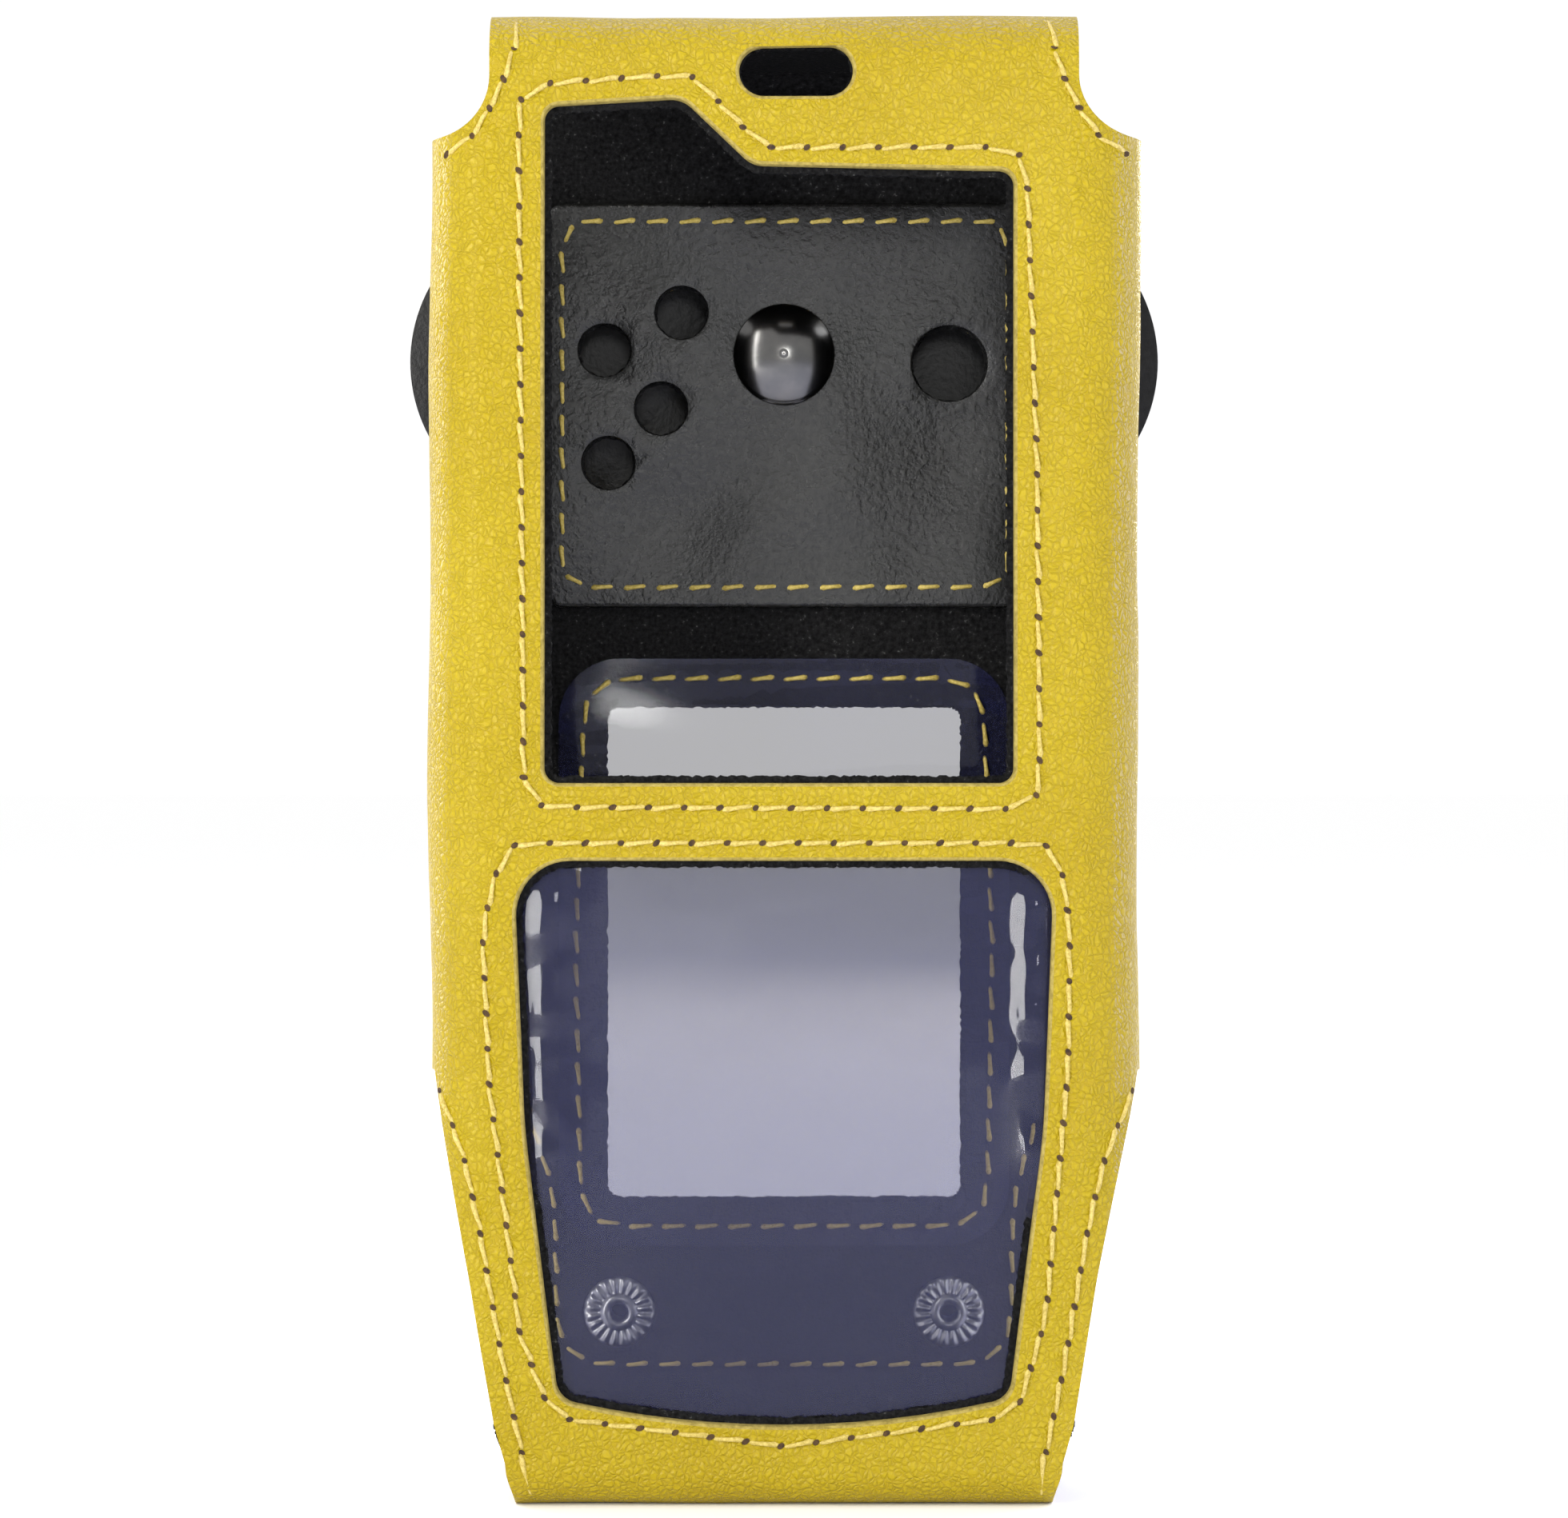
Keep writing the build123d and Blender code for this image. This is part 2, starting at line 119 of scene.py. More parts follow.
leatherLook = {
    "colour": (0.366, 0.268, 0.0010), "deep": (0.346, 0.248, 0.0), "light": (0.388, 0.288, 0.004),
    # valley is the painted shade colour that darkens the grain's valleys
    "tintAt": (0.3, 0.5, 0.72), "valley": (0.84, 0.80, 0.70), "valleyTo": 0.45, "valleyMix": 0.75,
    "roughness": 0.38, "specular": 0.24, "coat": 0.03, "coatRoughness": 0.25, "glossier": 0.1, "duller": 0.12,
    "grain": 1500, "pebbleEdge": 0.3, "wander": 0.0014, "pores": 2600, "patches": 42, "folds": 300,
    "foldDepth": 0.00062, "grainDepth": 0.00028, "poreDepth": 0.00009,
}


def leatherMaterial(name, look):
    made, tree, shader = newMaterial(
        name, Roughness=look["roughness"], Specular_IOR_Level=look["specular"],
        Coat_Weight=look["coat"], Coat_Roughness=look["coatRoughness"],
    )
    place = restPlace(tree)
    patches = noiseOf(tree, place, look["patches"], detail=4.0)
    tints = (look["deep"], look["colour"], look["light"])
    tint = colourRamp(tree, patches, tuple(zip(look["tintAt"], tints)))
    # the grain's cells wander a little, so that no two are alike
    drift = noiseOf(tree, place, look["folds"] * 2, detail=2.0, output="Color")
    spread = addNode(tree, "VectorMath", {0: drift}, operation="SCALE")
    spread.inputs["Scale"].default_value = look["wander"]
    moved = addNode(tree, "VectorMath", {0: place, 1: spread.outputs[0]}, operation="ADD").outputs[0]
    cells = addNode(tree, "TexVoronoi", {"Vector": moved}, feature="DISTANCE_TO_EDGE", Scale=look["grain"])
    pebbles = addNode(tree, "MapRange", {"Value": cells.outputs["Distance"]}, From_Max=look["pebbleEdge"])
    pebbles = pebbles.outputs["Result"]
    folds = noiseOf(tree, place, look["folds"], detail=5.0, roughness=0.6)
    pores = noiseOf(tree, place, look["pores"], detail=2.0)
    # painted shade: the colour is darkened in the valleys between the pebbles
    valleyShade = colourRamp(tree, pebbles, ((0.0, look["valley"]), (look["valleyTo"], (1.0, 1.0, 1.0))))
    coloured = addNode(tree, "Mix", data_type="RGBA", blend_type="MULTIPLY")
    coloured.inputs[0].default_value = look["valleyMix"]
    tree.links.new(tint, coloured.inputs[6])
    tree.links.new(valleyShade, coloured.inputs[7])
    tree.links.new(coloured.outputs[2], shader.inputs["Base Color"])
    layers = (
        (folds, look["foldDepth"], 0.6), (pebbles, look["grainDepth"], 0.6), (pores, look["poreDepth"], 0.5),
    )
    addBump(tree, shader, layers)
    glossy, dull = look["roughness"] - look["glossier"], look["roughness"] + look["duller"]
    setRoughness(tree, shader, folds, glossy, dull)
    return made


speckleLook = {
    "darkAt": 0.35, "lightAt": 0.64, "dustAt": 0.74, "clouds": 0.06, "polished": 0.85, "dulled": 1.15,
}


def speckledMaterial(
    name, dark, light, roughness, grain, depth, place=restPlace, dust=None, swells=0, swellDepth=0, **sockets,
):
    # grain and swells are in repeats per metre, and the depths in metres
    look = speckleLook
    made, tree, shader = newMaterial(name, Roughness=roughness, **sockets)
    where = place(tree)
    specks = noiseOf(tree, where, grain, detail=4.0, roughness=0.6)
    stops = [(look["darkAt"], dark), (look["lightAt"], light)] + ([(look["dustAt"], dust)] if dust else [])
    tree.links.new(colourRamp(tree, specks, stops), shader.inputs["Base Color"])
    clouds = noiseOf(tree, where, grain * look["clouds"], detail=3.0)
    setRoughness(tree, shader, clouds, roughness * look["polished"], roughness * look["dulled"])
    layers = [(specks, depth, 0.6)]
    if swells:
        layers.insert(0, (noiseOf(tree, where, swells, detail=1.0), swellDepth, 1.0))
    addBump(tree, shader, layers)
    return made


yellowLeather = leatherMaterial("yellowLeather", leatherLook)
cutEdge = speckledMaterial(
    "cutEdge", dark=(0.20, 0.150, 0.022), light=(0.35, 0.270, 0.058),
    roughness=0.85, grain=1800, depth=0.0002,
)
blackFelt = speckledMaterial(
    "blackFelt", dark=(0.003, 0.003, 0.003), light=(0.013, 0.013, 0.013), dust=(0.08, 0.08, 0.075),
    roughness=0.95, grain=2200, depth=0.0003, Specular_IOR_Level=0.1,
)
blackSmooth = speckledMaterial(
    "blackSmooth", dark=(0.005, 0.005, 0.0046), light=(0.015, 0.015, 0.0135),
    roughness=0.27, grain=1500, depth=0.00024, swells=42, swellDepth=0.0034, Specular_IOR_Level=0.38,
)
gunmetal = speckledMaterial(
    "gunmetal", dark=(0.095, 0.095, 0.095), light=(0.125, 0.122, 0.118),
    roughness=0.17, grain=300, depth=0.00001, place=objectPlace, Metallic=1.0,
)
eyeletMetal = speckledMaterial(
    "eyeletMetal", dark=(0.22, 0.22, 0.24), light=(0.36, 0.36, 0.38),
    roughness=0.32, grain=900, depth=0.00002, place=objectPlace, Metallic=1.0,
)
blackOxide = speckledMaterial(
    "blackOxide", dark=(0.003, 0.003, 0.005), light=(0.006, 0.006, 0.009),
    roughness=0.30, grain=700, depth=0.00003, place=objectPlace, Specular_IOR_Level=0.10,
)
mouldedBlack = speckledMaterial(
    "mouldedBlack", dark=(0.003, 0.003, 0.003), light=(0.008, 0.008, 0.0083),
    roughness=0.40, grain=1500, depth=0.00012, place=objectPlace, Specular_IOR_Level=0.26,
)
smoothBlack = speckledMaterial(
    "smoothBlack", dark=(0.003, 0.003, 0.0034), light=(0.007, 0.007, 0.0077),
    roughness=0.33, grain=1400, depth=0.00009, place=objectPlace, Specular_IOR_Level=0.16,
)
springWire = speckledMaterial(
    "springWire", dark=(0.4, 0.4, 0.41), light=(0.55, 0.55, 0.56),
    roughness=0.3, grain=900, depth=0.00002, place=objectPlace, Metallic=1.0,
)
threadTwist = speckledMaterial(
    "threadTwist", dark=(0.37, 0.27, 0.035), light=(0.60, 0.47, 0.13),
    roughness=0.6, grain=3600, depth=0.00012,
)
# painted shade: dark discs laid on the leather at each needle hole, for the hole's shaded inside
holeShade = speckledMaterial(
    "holeShade", dark=(0.022, 0.010, 0.003), light=(0.07, 0.035, 0.008),
    roughness=0.9, grain=2500, depth=0.0001,
)

filmLook = {
    "colour": (0.020, 0.022, 0.062, 1), "opacity": 0.36, "roughness": 0.08, "gloss": 0.05,
    "smears": 45.0, "clean": 0.6, "smeared": 1.7, "buckle": 0.0003,
}


def filmMaterial(look):
    made, tree, shader = newMaterial(
        "clearFilm", Base_Color=look["colour"], Alpha=look["opacity"], Specular_IOR_Level=0.0,
        Coat_Weight=1.0, Coat_Roughness=look["gloss"],
    )
    smears = noiseOf(tree, restPlace(tree), look["smears"], detail=1.5)
    setRoughness(tree, shader, smears, look["roughness"] * look["clean"], look["roughness"] * look["smeared"])
    addBump(tree, shader, ((smears, look["buckle"], 0.4),))
    return made


clearFilm = filmMaterial(filmLook)
print("materials made:", len(bpy.data.materials))


def clamp(value, low, high):
    return max(low, min(high, value))


def smooth(value):
    t = clamp(value, 0.0, 1.0)
    return t * t * (3 - 2 * t)


shellLow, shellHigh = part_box("front_shell")
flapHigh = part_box("closing_flap")[1]
frontY = shellLow.y
backY = 5.0 * mm
cornerRadius = 7.0 * mm
foldRadius = 5.0 * mm
bendRadius = 4.0 * mm
flatHalf = shellHigh.x - cornerRadius
topCore = shellHigh.z - foldRadius

# where the shell's strap runs down the back, and the middle of its fold over the top
rearStrap = {"face": 4.5 * mm, "half": 30.5 * mm, "foot": 129 * mm, "core": 1.8 * mm}
# the back panel's flat stretch between its standing seams
panelFlat = {"half": 31.2 * mm, "core": 6.2 * mm}


def shellOutward(p):
    rear = p.y > rearStrap["face"] and abs(p.x) < rearStrap["half"] and p.z > rearStrap["foot"]
    if p.z > topCore or rear:
        core = (p.x, clamp(p.y, frontY + foldRadius, rearStrap["core"]), min(p.z, topCore))
    else:
        core = (clamp(p.x, -flatHalf, flatHalf), max(p.y, frontY + cornerRadius), p.z)
    return (p - Vector(core)).normalized()


def panelOutward(p):
    half = panelFlat["half"]
    return (p - Vector((clamp(p.x, -half, half), max(p.y, panelFlat["core"]), p.z))).normalized()


def strapOutward(p):
    return (p - Vector((p.x, max(p.y, frontY + bendRadius), max(p.z, bendRadius)))).normalized()


def flapOutward(p):
    return (p - Vector((p.x, min(p.y, flapHigh.y - bendRadius), max(p.z, bendRadius)))).normalized()


rippleLook = {
    "wave": 0.55 * mm, "waveSize": 30 * mm,
    "crease": 0.42 * mm, "creaseSize": 7 * mm, "stretch": (0.5, 0.8, 1.3),
    "everywhere": 0.12, "atEnds": 0.5, "atFoot": 0.6,
    "seamX": 27 * mm, "seamY": -4 * mm, "foot": 9 * mm, "top": 139 * mm, "fade": 6 * mm, "longFade": 9 * mm,
    "knobZ": 118 * mm, "knobRadius": 9 * mm,
}


def ripple(p):
    # how far the leather stands proud of its flat shape at a place: most beside the seams, none at the knob
    look = rippleLook
    wave = noise.noise(p / look["waveSize"]) * look["wave"]
    seam = smooth((abs(p.x) - look["seamX"]) / look["fade"])
    seam *= smooth((p.y - look["seamY"]) / look["longFade"])
    foot = smooth((look["foot"] - p.z) / look["fade"]) * look["atFoot"]
    ends = smooth((p.z - look["top"]) / look["fade"]) + foot
    stretched = Vector([value * scale for value, scale in zip(p, look["stretch"])]) / look["creaseSize"]
    crease = noise.noise(stretched) * look["crease"] * (look["everywhere"] + seam + look["atEnds"] * ends)
    fromKnob = math.hypot(p.x, p.z - look["knobZ"]) - look["knobRadius"]
    hardware = smooth(fromKnob / look["longFade"]) if p.y > 0 else 1.0
    return (wave + crease) * hardware


def settle(p, outward):
    return p + outward(p) * ripple(p)


mergeDistance = 2e-6
flatAngle = math.radians(0.6)


def nodeMesh(name):
    # the CAD node's own shape, merged and with its flat faces whole
    mesh = bmesh.new()
    mesh.from_mesh(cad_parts[name].data)
    bmesh.ops.remove_doubles(mesh, verts=mesh.verts, dist=mergeDistance)
    bmesh.ops.dissolve_limit(
        mesh, angle_limit=flatAngle, verts=mesh.verts, edges=mesh.edges, delimit={"NORMAL"},
    )
    return mesh


def edgeMiddle(edge):
    return (edge.verts[0].co + edge.verts[1].co) / 2


def anywhere(p):
    return True


def softEdges(mesh, width, segments=2, angle=38, clamp=True, keep=anywhere):
    sharp = [
        edge for edge in mesh.edges
        if edge.is_manifold and edge.calc_face_angle(0) > math.radians(angle) and keep(edgeMiddle(edge))
    ]
    bmesh.ops.bevel(
        mesh, geom=sharp, offset=width, segments=segments, profile=0.5, affect="EDGES", material=-1,
        clamp_overlap=clamp,
    )


def cutGrid(mesh, spacing, axes="xz"):
    for axis in axes:
        index = "xyz".index(axis)
        places = [v.co[index] for v in mesh.verts]
        count = int((max(places) - min(places)) / spacing)
        direction = Vector((index == 0, index == 1, index == 2))
        for step in range(1, count + 1):
            at = min(places) + (max(places) - min(places)) * step / (count + 1)
            bmesh.ops.bisect_plane(
                mesh, geom=mesh.verts[:] + mesh.edges[:] + mesh.faces[:],
                plane_co=direction * at, plane_no=direction, dist=1e-7,
            )


skinFacing = 0.97


def markRims(mesh, outward):
    # the cut edges of a sheet take the second material
    for face in mesh.faces:
        across = abs(face.normal.dot(outward(face.calc_center_median())))
        face.material_index = 1 if across < skinFacing else 0


edgeLook = {
    "leather": 0.36 * mm, "lining": 0, "foldedLining": 0.12 * mm, "patch": 0.3 * mm,
    "nearSkin": 0.2 * mm, "inset": 0.3 * mm, "low": 7.7 * mm, "high": 147 * mm,
    "shellJoin": (2 * mm, 4.02 * mm, 4.7 * mm), "flapJoin": (4.5 * mm, 5.2 * mm, 1.4 * mm),
}


def windowEdge(p):
    # the outer edges of the openings in the front and in the back panel
    look = edgeLook
    onSkin = min(abs(p.y - frontY), abs(p.y - backY)) < look["nearSkin"]
    return onSkin and abs(p.x) < flatHalf - look["inset"] and look["low"] < p.z < look["high"]


def runsOn(p):
    # where the strap meets the shell and the flap, the leather goes on without an edge
    thick, low, high = edgeLook["shellJoin"]
    atShell = p.y < frontY + thick and low < p.z < high
    near, far, above = edgeLook["flapJoin"]
    return atShell or (near < p.y < far and p.z < above)


frayLook = {"reach": 0.30 * mm, "least": 0.1, "longest": 0.7 * mm, "cuts": 6, "low": 6 * mm, "high": 147 * mm}


def raggedEdge(mesh):
    # the felt's cut edges are frayed: they reach past the leather here and there
    look = frayLook

    def frays(face):
        at = face.calc_center_median()
        inside = abs(at.x) < flatHalf or at.y > 0
        return face.material_index and look["low"] < at.z < look["high"] and inside

    rims = [edge for face in mesh.faces if frays(face) for edge in face.edges]
    long = dict.fromkeys(edge for edge in rims if edge.calc_length() > look["longest"])
    bmesh.ops.subdivide_edges(mesh, edges=list(long), cuts=look["cuts"])
    mesh.normal_update()
    moves = {}
    for face in mesh.faces:
        if frays(face):
            for vertex in face.verts:
                moves[vertex] = moves.get(vertex, Vector()) + face.normal
    for vertex, way in moves.items():
        vertex.co += way.normalized() * random.uniform(look["least"], 1.0) * look["reach"]


def finishPiece(name, mesh, body, materials, nodes=(), smoothAngle=40):
    data = bpy.data.meshes.new(name)
    mesh.to_mesh(data)
    mesh.free()
    place = data.attributes.new("restPlace", "FLOAT_VECTOR", "POINT")
    for vertex, item in zip(data.vertices, place.data):
        item.vector = vertex.co
    data.shade_smooth()
    data.set_sharp_from_angle(angle=math.radians(smoothAngle))
    for material in materials:
        data.materials.append(material)
    piece = bpy.data.objects.new(name, data)
    bpy.context.scene.collection.objects.link(piece)
    if body:
        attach(piece, body)
    if nodes:
        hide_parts(*nodes)
    return piece


def sheetPiece(name, node, body, materials, slot, outward, spacing, edge, axes="xyz", shape=None, press=None):
    mesh = nodeMesh(node)
    if materials[1] == cutEdge:
        softEdges(mesh, edgeLook["leather"], clamp=False, keep=windowEdge)
    if edge:
        softEdges(mesh, edge, keep=lambda p: not runsOn(p))
    markRims(mesh, outward)
    if shape:
        shape(mesh)
    cutGrid(mesh, spacing, axes)
    for vertex in mesh.verts:
        vertex.co = settle(vertex.co, outward)
        if press:
            vertex.co += press(vertex.co)
    if slot == "lining":
        raggedEdge(mesh)
    piece = finishPiece(name, mesh, body, materials, (node,))
    print("sheet:", name, len(piece.data.polygons), "faces")
    return piece


leatherSet = (yellowLeather, cutEdge)
feltSet = (blackFelt, blackFelt)
# how finely each kind of sheet is cut up, so that it can ripple and bend
sheetSpacing = {
    "leather": 1.5 * mm, "lining": 2.5 * mm, "patch": 2.5 * mm, "fold": 1.2 * mm,
    "keypadFilm": 0.6 * mm, "rearFilm": 2.5 * mm,
}
caseSheets = (
    ("shellLeather", "front_shell", leatherSet, "leather", shellOutward),
    ("shellLining", "front_lining", feltSet, "lining", shellOutward),
    ("panelLeather", "back_panel", leatherSet, "leather", panelOutward),
    ("panelLining", "back_lining", feltSet, "lining", panelOutward),
)
for name, node, materials, slot, outward in caseSheets:
    sheetPiece(name, node, "case", materials, slot, outward, sheetSpacing[slot], edgeLook[slot])
sheetPiece(
    "reinforcement", "clip_reinforcement", "case", (blackSmooth, blackSmooth), "black_leather",
    panelOutward, sheetSpacing["patch"], edgeLook["patch"], axes="xz",
)

bulgeLook = {
    "leftAt": -23.2 * mm, "leftHeight": 1.12 * mm, "rightAt": 25.2 * mm, "rightHeight": 1.4 * mm,
    "width": 2.6 * mm, "low": 24 * mm, "lowFade": 12 * mm, "high": 66 * mm, "highFade": 6 * mm,
    "mean": 1.02, "swell": 0.20, "swellSize": 9 * mm, "dent": 0.10, "dentSize": 3 * mm,
}


def filmBulge(p):
    # the keypad film stands forward in a soft fold along each side of its opening
    look = bulgeLook
    side = "left" if p.x < 0 else "right"
    across = math.exp(-(((p.x - look[side + "At"]) / look["width"]) ** 2))
    ends = smooth((p.z - look["low"]) / look["lowFade"]) * smooth((look["high"] - p.z) / look["highFade"])
    swell = look["swell"] * noise.noise(p / look["swellSize"])
    dent = look["dent"] * noise.noise(p / look["dentSize"])
    return Vector((0, -look[side + "Height"] * across * ends * (look["mean"] + swell + dent), 0))


filmSet = (clearFilm, clearFilm)
sheetPiece(
    "keypadFilm", "keypad_film", "case", filmSet, "clear_film",
    shellOutward, sheetSpacing["keypadFilm"], edge=0, axes="xz", press=filmBulge,
)
sheetPiece(
    "rearFilm", "back_window_film", "case", filmSet, "clear_film",
    panelOutward, sheetSpacing["rearFilm"], edge=0, axes="xz",
)

foldLook = {
    "strapRise": 0.45 * mm, "strapReach": 0.5 * mm, "atEnd": 0.3 * mm, "aboveBend": 0.5 * mm,
    "shellFoot": 27.9 * mm, "flapHalf": flapHigh.x, "widenFrom": 4 * mm, "widenOver": 4.5 * mm,
}


def meetShell(mesh):
    # the strap's ends reach the shell and the flap, and its width runs into theirs
    look = foldLook
    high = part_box("bottom_strap")[1]
    for vertex in mesh.verts:
        if vertex.co.z > high.z - look["atEnd"]:
            vertex.co.z += look["strapRise"]
        if vertex.co.y > high.y - look["atEnd"]:
            vertex.co.y += look["strapReach"]
    for vertex in mesh.verts:
        rise = smooth(vertex.co.z / (bendRadius + look["strapRise"]))
        rear = smooth((vertex.co.y - high.y + look["widenFrom"]) / look["widenOver"])
        wide = high.x + (look["shellFoot"] - high.x) * rise + (look["flapHalf"] - high.x) * rear
        vertex.co.x *= wide / high.x


def foldSheet(name, node, materials, slot, outward, edge, bodies, start, end, shape):
    piece = sheetPiece(name, node, None, materials, slot, outward, sheetSpacing["fold"], edge, shape=shape)
    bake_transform(piece)


# the bodies that each fold joins, and where its bend starts and ends
frontFold = (
    ("case", "strap"), (0, frontY, bendRadius + foldLook["aboveBend"]), (0, frontY + bendRadius, 0),
)
rearFold = (("strap", "flap"), (0, flapHigh.y - bendRadius, 0), (0, flapHigh.y, bendRadius))
foldedEdge = {"leather": edgeLook["leather"], "lining": edgeLook["foldedLining"]}
foldedSheets = (
    ("strapLeather", "bottom_strap", leatherSet, "leather", strapOutward, frontFold, meetShell),
    ("strapLining", "bottom_strap_lining", feltSet, "lining", strapOutward, frontFold, meetShell),
    ("flapLeather", "closing_flap", leatherSet, "leather", flapOutward, rearFold, None),
    ("flapLining", "closing_flap_lining", feltSet, "lining", flapOutward, rearFold, None),
)
for name, node, materials, slot, outward, fold, shape in foldedSheets:
    foldSheet(name, node, materials, slot, outward, foldedEdge[slot], *fold, shape)

stitchLook = {
    "pitch": 3.55 * mm, "fill": 0.97, "radius": 0.27 * mm, "blunt": 0.75, "plump": 0.55,
    "ply": 0.2, "plyTurn": 8.0, "taper": 0.24, "dive": 0.36 * mm, "level": 0.45, "sunk": 0.08 * mm,
    "slant": 0.09, "waver": 0.05,
}
holeLook = {"radius": 0.34 * mm, "lift": 0.06 * mm, "turn": (0.3, 0.9), "torn": (1.0, 1.4), "across": 0.85}
insideLook = {"pitch": 3.5 * mm, "length": 2.75 * mm}


def stitchShape():
    # one raised stitch of plied thread along X, with its ends going down into the leather
    look = stitchLook
    shape = bmesh.new()
    bmesh.ops.create_uvsphere(shape, u_segments=8, v_segments=7, radius=1.0)
    bmesh.ops.rotate(shape, verts=shape.verts, cent=(0, 0, 0), matrix=Matrix.Rotation(math.pi / 2, 3, "Y"))
    half = look["pitch"] / 2 * look["fill"]
    for vertex in shape.verts:
        along = math.copysign(abs(vertex.co.x) ** look["blunt"], vertex.co.x)
        around = Vector((0, vertex.co.y, vertex.co.z))
        girth = (around.length or 1.0) ** look["plump"]
        angle = math.atan2(vertex.co.z, vertex.co.y)
        ply = (1 + look["ply"] * math.cos(2 * angle - look["plyTurn"] * along)) * (1 - look["taper"] * along)
        around = around.normalized() * girth * ply * look["radius"]
        sink = look["dive"] * (abs(along) ** 3 - look["level"])
        vertex.co = Vector((along * half, around.y, around.z - sink))
    data = bpy.data.meshes.new("oneStitch")
    shape.to_mesh(data)
    shape.free()
    return data


def holeShape():
    shape = bmesh.new()
    bmesh.ops.create_circle(shape, cap_ends=True, segments=9, radius=holeLook["radius"])
    data = bpy.data.meshes.new("oneHole")
    shape.to_mesh(data)
    shape.free()
    return data


oneStitch = stitchShape()
oneHole = holeShape()


def needlePlaces(path, closed, pitch):
    # evenly spaced places along a run of points, one for each prick of the needle
    points = list(path) + ([path[0]] if closed else [])
    lengths = [(b - a).length for a, b in zip(points, points[1:])]
    count = max(1, round(sum(lengths) / pitch))
    step = sum(lengths) / count
    places = []
    for index in range(count + 1):
        left = min(index * step, sum(lengths) - 1e-9)
        for a, b, length in zip(points, points[1:], lengths):
            if left <= length:
                places.append(a.lerp(b, left / length))
                break
            left -= length
    return places


def addCopy(mesh, shape, matrix):
    before = len(mesh.verts)
    mesh.from_mesh(shape)
    mesh.verts.ensure_lookup_table()
    bmesh.ops.transform(mesh, matrix=matrix, verts=mesh.verts[before:])


def sewLine(threads, holes, path, surface, outward, closed=False, inside=False):
    # surface puts a flat place on the leather, and outward gives the way it faces there
    look = insideLook if inside else stitchLook
    pricks = needlePlaces(path, closed, look["pitch"])
    for a, b in zip(pricks, pricks[1:]):
        first, last = (settle(surface(p), outward) for p in (a, b))
        middle = (a + b) / 2
        facing = surface(middle, True)
        along = (last - first).normalized()
        across = facing.cross(along).normalized()
        turn = Matrix((along, across, facing)).transposed().to_4x4()
        waver = random.uniform(-stitchLook["waver"], stitchLook["waver"])
        slant = Matrix.Rotation(stitchLook["slant"] + waver, 4, "Z")
        span = (last - first).length * (insideLook["length"] / insideLook["pitch"] if inside else 1.0)
        size = Matrix.Diagonal((span / stitchLook["pitch"], 1, 1, 1))
        centre = (first + last + settle(surface(middle), outward) * 2) / 4 - facing * stitchLook["sunk"]
        addCopy(threads, oneStitch, Matrix.Translation(centre) @ turn @ slant @ size)
        # each needle hole gets a flat disc of painted shade
        if not inside:
            lift = Matrix.Translation(first + facing * holeLook["lift"])
            tear = Matrix.Rotation(random.uniform(*holeLook["turn"]), 4, "Z")
            pulled = Matrix.Diagonal((random.uniform(*holeLook["torn"]), holeLook["across"], 1, 1))
            addCopy(holes, oneHole, lift @ turn @ tear @ pulled)


# a row of stitches stops just short of a bend's quarter turn
turnLimit = 0.98


def frontSurface(p, facing=False):
    # p is (x, 0, z) on the front: it curves away past flatHalf, over the top fold and under the bottom bend
    over = clamp(abs(p.x) - flatHalf, 0, cornerRadius * turnLimit)
    drop = math.sqrt(cornerRadius ** 2 - over ** 2)
    radius, high = (foldRadius, p.z - topCore) if p.z > topCore else (bendRadius, min(0, p.z - bendRadius))
    high = clamp(high, -radius * turnLimit, radius * turnLimit)
    fall = math.sqrt(radius ** 2 - high ** 2)
    if facing:
        side, rise = math.copysign(over, p.x) / cornerRadius, high / radius
        return Vector((side, -min(drop / cornerRadius, fall / radius), rise)).normalized()
    return Vector((p.x, frontY + cornerRadius - drop + radius - fall, p.z))


def innerFace(depth):
    # the inside of the front, at a depth behind its outer skin
    def surface(p, facing=False):
        inward = -frontSurface(p, True)
        return inward if facing else frontSurface(p) + inward * depth
    return surface


def rearStrapSurface(p, facing=False):
    high = clamp(p.z - topCore, 0, foldRadius * turnLimit)
    fall = math.sqrt(foldRadius ** 2 - high ** 2)
    if facing:
        return Vector((0, fall, high)).normalized()
    return Vector((p.x, rearStrap["core"] + fall, p.z))


def flapSurface(p, facing=False):
    low = clamp(bendRadius - p.z, 0, bendRadius * turnLimit)
    fall = math.sqrt(bendRadius ** 2 - low ** 2)
    if facing:
        return Vector((0, fall, -low)).normalized()
    return Vector((p.x, flapHigh.y - bendRadius + fall, p.z))


def levelSurface(y, direction):
    def surface(p, facing=False):
        return Vector((0, direction, 0)) if facing else Vector((p.x, y, p.z))
    return surface


def flat(*places):
    return [Vector((x * mm, 0, z * mm)) for x, z in places]


def rounded(corners, radius, steps=5, sharpest=0.3):
    # a closed run of points round the corners of a flat shape
    points = []
    count = len(corners)
    for index, corner in enumerate(corners):
        before = (corners[index - 1] - corner).normalized()
        after = (corners[(index + 1) % count] - corner).normalized()
        reach = radius / max(sharpest, math.tan(before.angle(after) / 2))
        a, b = corner + before * reach, corner + after * reach
        for step in range(steps + 1):
            t = step / steps
            points.append(a * (1 - t) ** 2 + corner * 2 * t * (1 - t) + b * t ** 2)
    return points


def mirrorX(points):
    return [Vector((-p.x, p.y, p.z)) for p in points]


